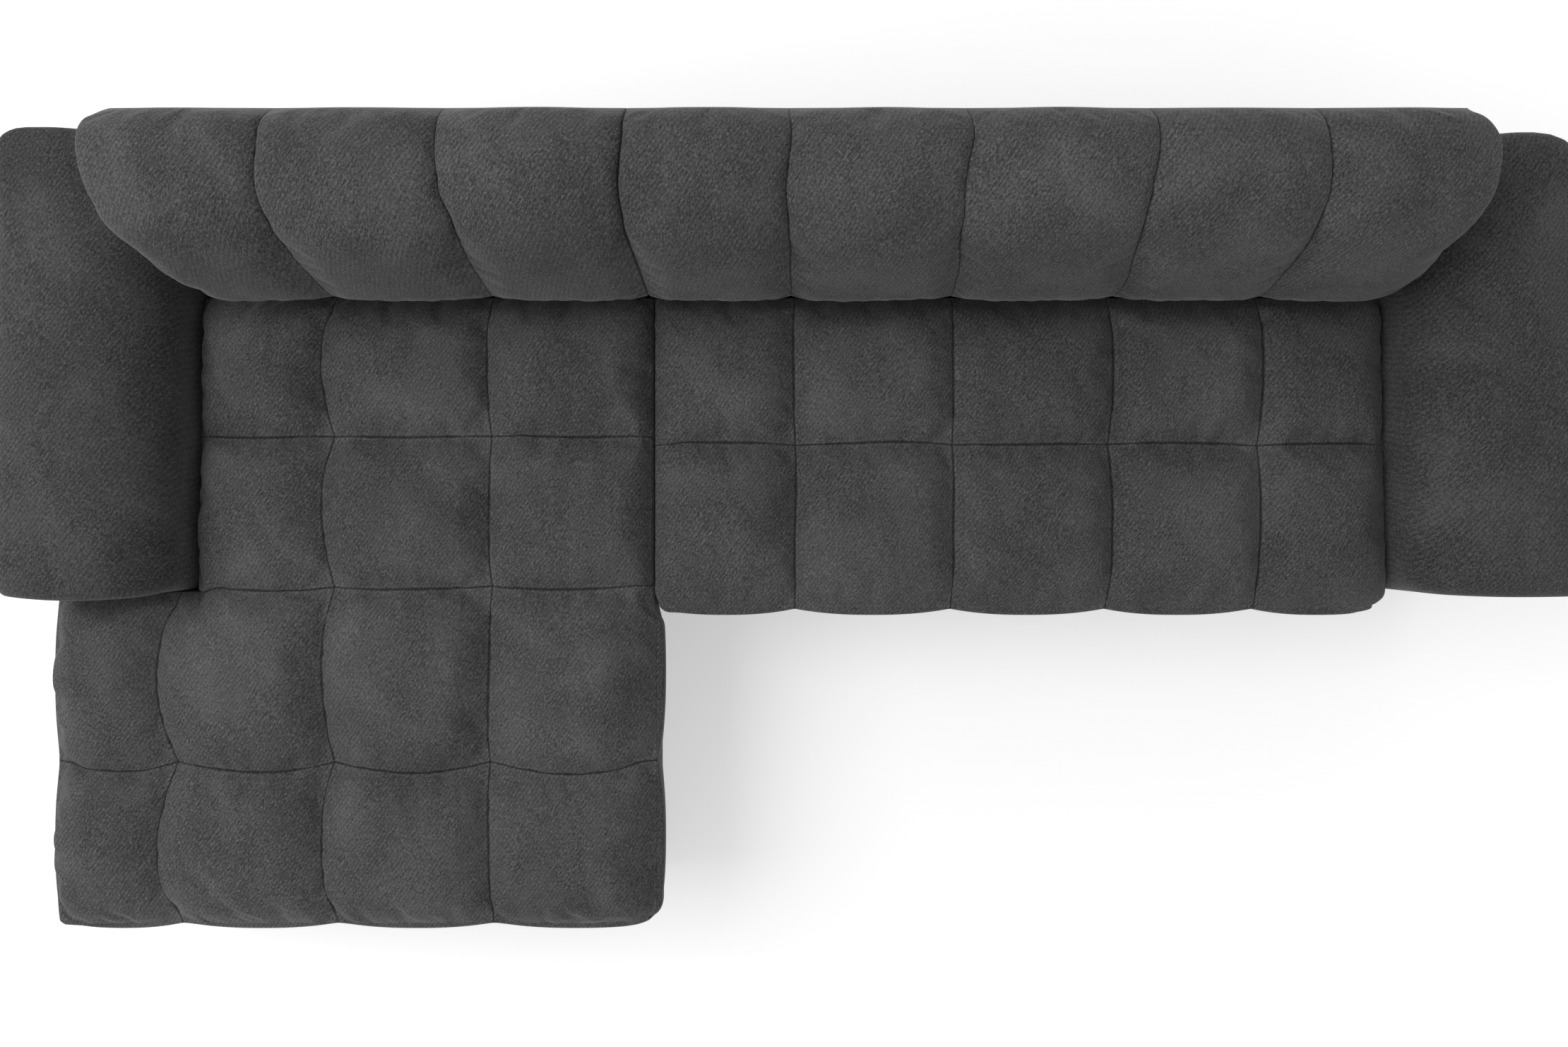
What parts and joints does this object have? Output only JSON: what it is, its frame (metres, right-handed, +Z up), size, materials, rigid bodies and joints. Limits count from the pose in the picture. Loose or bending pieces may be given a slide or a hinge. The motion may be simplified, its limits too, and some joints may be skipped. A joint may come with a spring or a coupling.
{
  "type": "sofa with chaise",
  "caption": "Upholstered sofa with a wide chaise, square-quilted seats, channelled backs, padded arms and a lift-up chaise seat over a storage box.",
  "frame": {"origin": "under the middle of the overall box, on the floor", "axes": "+X along the width, towards the right arm of a person facing the sofa; +Y towards the back; +Z up; the chaise is on the -X side"},
  "size_m": [2.912, 1.53, 0.88],
  "materials": {
    "charcoal_velour": "short-pile charcoal velour, mottled by brushing, soft sheen at grazing angles",
    "pine_wood": "planed softwood and plywood, unfinished",
    "chipboard": "raw pressed chipboard",
    "zinc_steel": "zinc-plated pressed steel",
    "spring_steel": "dark oiled spring wire",
    "black_plastic": "black moulded plastic",
    "grey_felt": "grey needled felt and grey-faced hardboard",
    "black_cloth": "thin black non-woven cloth"
  },
  "bodies": {
    "frame": {"chaise_arm_side_board": "chipboard", "chaise_back_board": "chipboard", "chaise_back_cushion": "charcoal_velour", "chaise_back_left_post": "pine_wood", "chaise_back_rear_cover": "charcoal_velour", "chaise_back_right_post": "pine_wood", "chaise_back_top_rail": "pine_wood", "chaise_base_cover": "charcoal_velour", "chaise_floor_board": "grey_felt", "chaise_foot_front_left": "black_plastic", "chaise_foot_front_right": "black_plastic", "chaise_foot_rear_left": "black_plastic", "chaise_foot_rear_right": "black_plastic", "chaise_front_board": "chipboard", "chaise_left_board": "chipboard", "chaise_rear_board": "chipboard", "chaise_right_board": "chipboard", "chaise_step_board": "chipboard", "left_arm_cover": "charcoal_velour", "left_arm_inner_board": "chipboard", "left_arm_outer_board": "chipboard", "left_arm_top_board": "chipboard", "left_lifter_base_plate": "zinc_steel", "main_back_board": "chipboard", "main_back_cushion": "charcoal_velour", "main_back_left_post": "pine_wood", "main_back_rear_cover": "charcoal_velour", "main_back_right_post": "pine_wood", "main_back_top_rail": "pine_wood", "main_base_cover": "charcoal_velour", "main_dust_cover": "black_cloth", "main_foot_front_left": "black_plastic", "main_foot_front_right": "black_plastic", "main_foot_rear_left": "black_plastic", "main_foot_rear_right": "black_plastic", "main_front_rail": "pine_wood", "main_left_rail": "pine_wood", "main_rear_rail": "pine_wood", "main_right_rail": "pine_wood", "main_seat_cushion": "charcoal_velour", "main_spring_pad": "grey_felt", "right_arm_cover": "charcoal_velour", "right_arm_inner_board": "chipboard", "right_arm_outer_board": "chipboard", "right_arm_top_board": "chipboard", "right_lifter_base_plate": "zinc_steel", "seat_spring_1": "spring_steel", "seat_spring_2": "spring_steel", "seat_spring_3": "spring_steel", "seat_spring_4": "spring_steel", "unit_bolt_front": "zinc_steel", "unit_bolt_rear": "zinc_steel"},
    "rear_links": {"left_lifter_rear_link": "zinc_steel", "right_lifter_rear_link": "zinc_steel"},
    "front_links": {"left_lifter_front_link": "zinc_steel", "right_lifter_front_link": "zinc_steel"},
    "chaise_lid": {"chaise_lid_board": "pine_wood", "chaise_seat_cushion": "charcoal_velour", "left_lifter_seat_bracket": "zinc_steel", "right_lifter_seat_bracket": "zinc_steel"}
  },
  "joints": [
    {"name": "rear_link_swing", "type": "hinge", "parent": "frame", "child": "rear_links", "pos_m": [0, 0.301, 0.13], "axis": [1, 0, 0], "range_deg": [0, 80]},
    {"name": "chaise_lid_lift", "type": "hinge", "parent": "rear_links", "child": "chaise_lid", "pos_m": [0, 0.44095, 0.23998], "axis": [-1, 0, 0], "range_deg": [0, 115]},
    {"name": "front_link_swing", "type": "hinge", "parent": "frame", "child": "front_links", "pos_m": [0, 0.2245, 0.15], "axis": [1, 0, 0], "range_deg": [0, 78.4]}
  ],
  "couplings": [
    {"joint": "rear_link_swing", "follows": "chaise_lid_lift", "ratio": 0.69565},
    {"joint": "front_link_swing", "follows": "chaise_lid_lift", "ratio": 0.6817}
  ]
}
